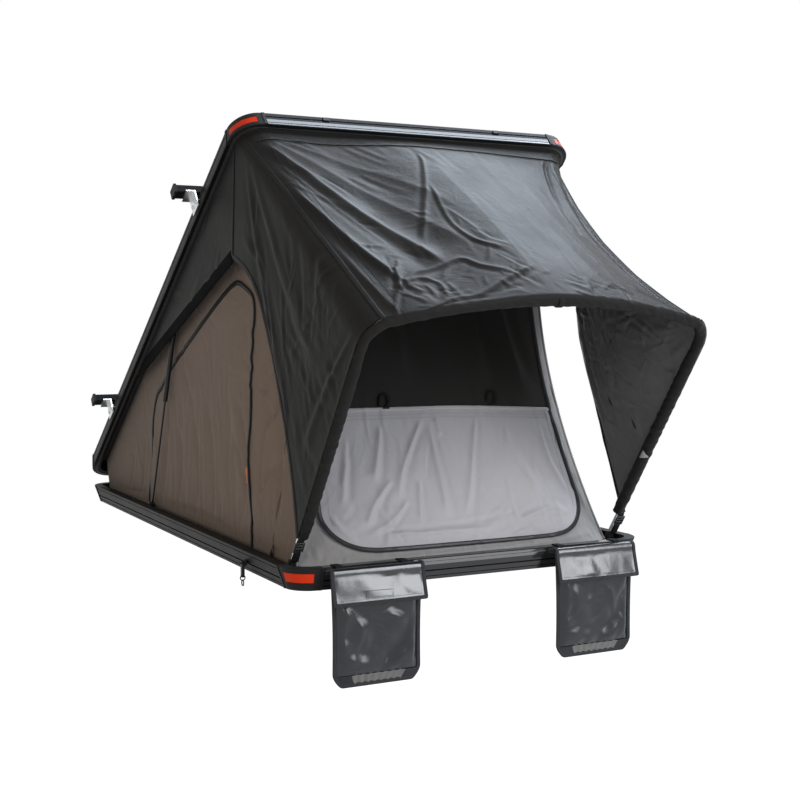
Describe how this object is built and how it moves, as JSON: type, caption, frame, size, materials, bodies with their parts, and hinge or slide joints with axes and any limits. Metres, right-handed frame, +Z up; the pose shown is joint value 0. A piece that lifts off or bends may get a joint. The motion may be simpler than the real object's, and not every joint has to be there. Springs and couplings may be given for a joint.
{
  "type": "roof top tent",
  "caption": "Hard-shell clamshell roof top tent, opened to a wedge on gas struts, with fabric walls, a door awning on a folding hoop, roof crossbars and hanging shoe bags.",
  "frame": {"origin": "middle of the four bolt holes, on the underside of the two roof rack rails", "axes": "+Z up, +Y from the door to the rear hinges, +X to the right as seen from the door"},
  "size_m": [1.444, 2.8614, 1.7585],
  "materials": {
    "shell_black": "satin",
    "cover_black": "matte",
    "reflector_red": "gloss",
    "panel_dark": "matte",
    "panel_grey": "matte",
    "lining_grey": "matte",
    "mattress_grey": "matte",
    "steel_bright": "satin",
    "steel_black": "satin",
    "bracket_silver": "satin",
    "seal_rubber": "matte",
    "webbing_black": "matte",
    "pole_grey": "satin",
    "canvas_taupe": "matte",
    "canvas_grey": "matte",
    "fly_black": "satin",
    "bag_black": "gloss"
  },
  "bodies": {
    "base": {"base_rail_left": "shell_black", "base_rail_right": "shell_black", "base_rail_front": "shell_black", "base_rail_rear": "shell_black", "base_corner_covers": "cover_black", "base_reflectors": "reflector_red", "floor_panel": "panel_grey", "mounting_rails": "shell_black", "mattress": "mattress_grey", "hinge_base_leaves": "steel_black", "hinge_pins": "steel_bright", "strut_base_studs": "steel_bright", "hoop_brackets": "steel_black", "bag_hang_straps": "webbing_black", "rail_clips": "cover_black", "side_wall_left": "canvas_taupe", "side_wall_right": "canvas_taupe", "front_wall": "canvas_grey", "rear_wall": "canvas_taupe", "door_panel": "canvas_grey", "window_panel_left": "canvas_taupe", "window_panel_right": "canvas_taupe"},
    "lid": {"lid_rail_left": "shell_black", "lid_rail_right": "shell_black", "lid_rail_front": "shell_black", "lid_rail_rear": "shell_black", "lid_corner_covers": "cover_black", "lid_reflectors": "reflector_red", "roof_panel": "panel_dark", "roof_lining": "lining_grey", "lid_seal": "seal_rubber", "hinge_lid_leaves": "steel_black", "strut_lid_studs": "steel_bright", "crossbar_front": "shell_black", "crossbar_rear": "shell_black", "crossbar_end_caps": "cover_black", "crossbar_brackets": "bracket_silver", "bracket_bolts": "steel_bright", "lid_slot_anchors": "bracket_silver", "fly_clips": "cover_black"},
    "strut_rod_left": {"strut_rod_left": "steel_bright"},
    "strut_rod_right": {"strut_rod_right": "steel_bright"},
    "strut_cylinder_left": {"strut_cylinder_left": "steel_black"},
    "strut_cylinder_right": {"strut_cylinder_right": "steel_black"},
    "hoop": {"hoop_pole": "pole_grey", "hoop_sleeve": "fly_black", "hoop_foot_bars": "bracket_silver", "hoop_straps": "webbing_black", "fly_canopy": "fly_black", "fly_side_left": "fly_black", "fly_side_right": "fly_black"},
    "bag_left": {"bag_pouch_left": "bag_black"},
    "bag_left_cover": {"bag_flap_left": "bag_black"},
    "bag_right": {"bag_pouch_right": "bag_black"},
    "bag_right_cover": {"bag_flap_right": "bag_black"},
    "hook_left": {"tie_hook_left": "steel_bright"},
    "hook_right": {"tie_hook_right": "steel_bright"}
  },
  "joints": [
    {"name": "lid_fold", "type": "hinge", "parent": "base", "child": "lid", "pos_m": [0, 1.225, 0.08], "axis": [1, 0, 0], "range_deg": [0, 34.35], "deforming": ["side_wall_left", "side_wall_right", "front_wall", "rear_wall", "door_panel", "window_panel_left", "window_panel_right", "fly_canopy", "fly_side_left", "fly_side_right", "hoop_sleeve", "hoop_straps", "hoop_pole"]},
    {"name": "hoop_fold", "type": "hinge", "parent": "base", "child": "hoop", "pos_m": [0, -1.053, 0.097], "axis": [1, 0, 0], "range_deg": [-124, 0], "deforming": ["side_wall_left", "side_wall_right", "front_wall", "rear_wall", "door_panel", "window_panel_left", "window_panel_right", "fly_canopy", "fly_side_left", "fly_side_right", "hoop_sleeve", "hoop_straps", "hoop_pole"]},
    {"name": "strut_left_turn", "type": "hinge", "parent": "base", "child": "strut_rod_left", "pos_m": [-0.6, 0.378, 0.097], "axis": [1, 0, 0], "range_deg": [0, 66.06]},
    {"name": "strut_left_slide", "type": "slide", "parent": "strut_rod_left", "child": "strut_cylinder_left", "axis": [0, -0.4015, 0.9158], "range_m": [-0.27675, 0]},
    {"name": "bag_left_swing", "type": "hinge", "parent": "base", "child": "bag_left", "pos_m": [-0.385, -1.191, 0.094], "axis": [-1, 0, 0], "range_deg": [0, 30]},
    {"name": "bag_left_cover_lift", "type": "hinge", "parent": "bag_left", "child": "bag_left_cover", "pos_m": [-0.385, -1.191, 0.094], "axis": [-1, 0, 0], "range_deg": [0, 60]},
    {"name": "hook_left_swing", "type": "hinge", "parent": "base", "child": "hook_left", "pos_m": [-0.65, -0.782, 0.05488], "axis": [1, 0, 0], "range_deg": [-60, 60]},
    {"name": "strut_right_turn", "type": "hinge", "parent": "base", "child": "strut_rod_right", "pos_m": [0.6, 0.378, 0.097], "axis": [1, 0, 0], "range_deg": [0, 66.06]},
    {"name": "strut_right_slide", "type": "slide", "parent": "strut_rod_right", "child": "strut_cylinder_right", "axis": [0, -0.4015, 0.9158], "range_m": [-0.27675, 0]},
    {"name": "bag_right_swing", "type": "hinge", "parent": "base", "child": "bag_right", "pos_m": [0.41, -1.191, 0.094], "axis": [-1, 0, 0], "range_deg": [0, 30]},
    {"name": "bag_right_cover_lift", "type": "hinge", "parent": "bag_right", "child": "bag_right_cover", "pos_m": [0.41, -1.191, 0.094], "axis": [-1, 0, 0], "range_deg": [0, 60]},
    {"name": "hook_right_swing", "type": "hinge", "parent": "base", "child": "hook_right", "pos_m": [0.65, -0.782, 0.05488], "axis": [1, 0, 0], "range_deg": [-60, 60]}
  ],
  "couplings": [
    {"joint": "hoop_fold", "follows": "lid_fold", "ratio": -3.6099},
    {"joint": "strut_left_turn", "follows": "lid_fold", "ratio": 1.923},
    {"joint": "strut_left_slide", "follows": "lid_fold", "m_per_rad": -0.46162},
    {"joint": "strut_right_turn", "follows": "lid_fold", "ratio": 1.923},
    {"joint": "strut_right_slide", "follows": "lid_fold", "m_per_rad": -0.46162}
  ]
}
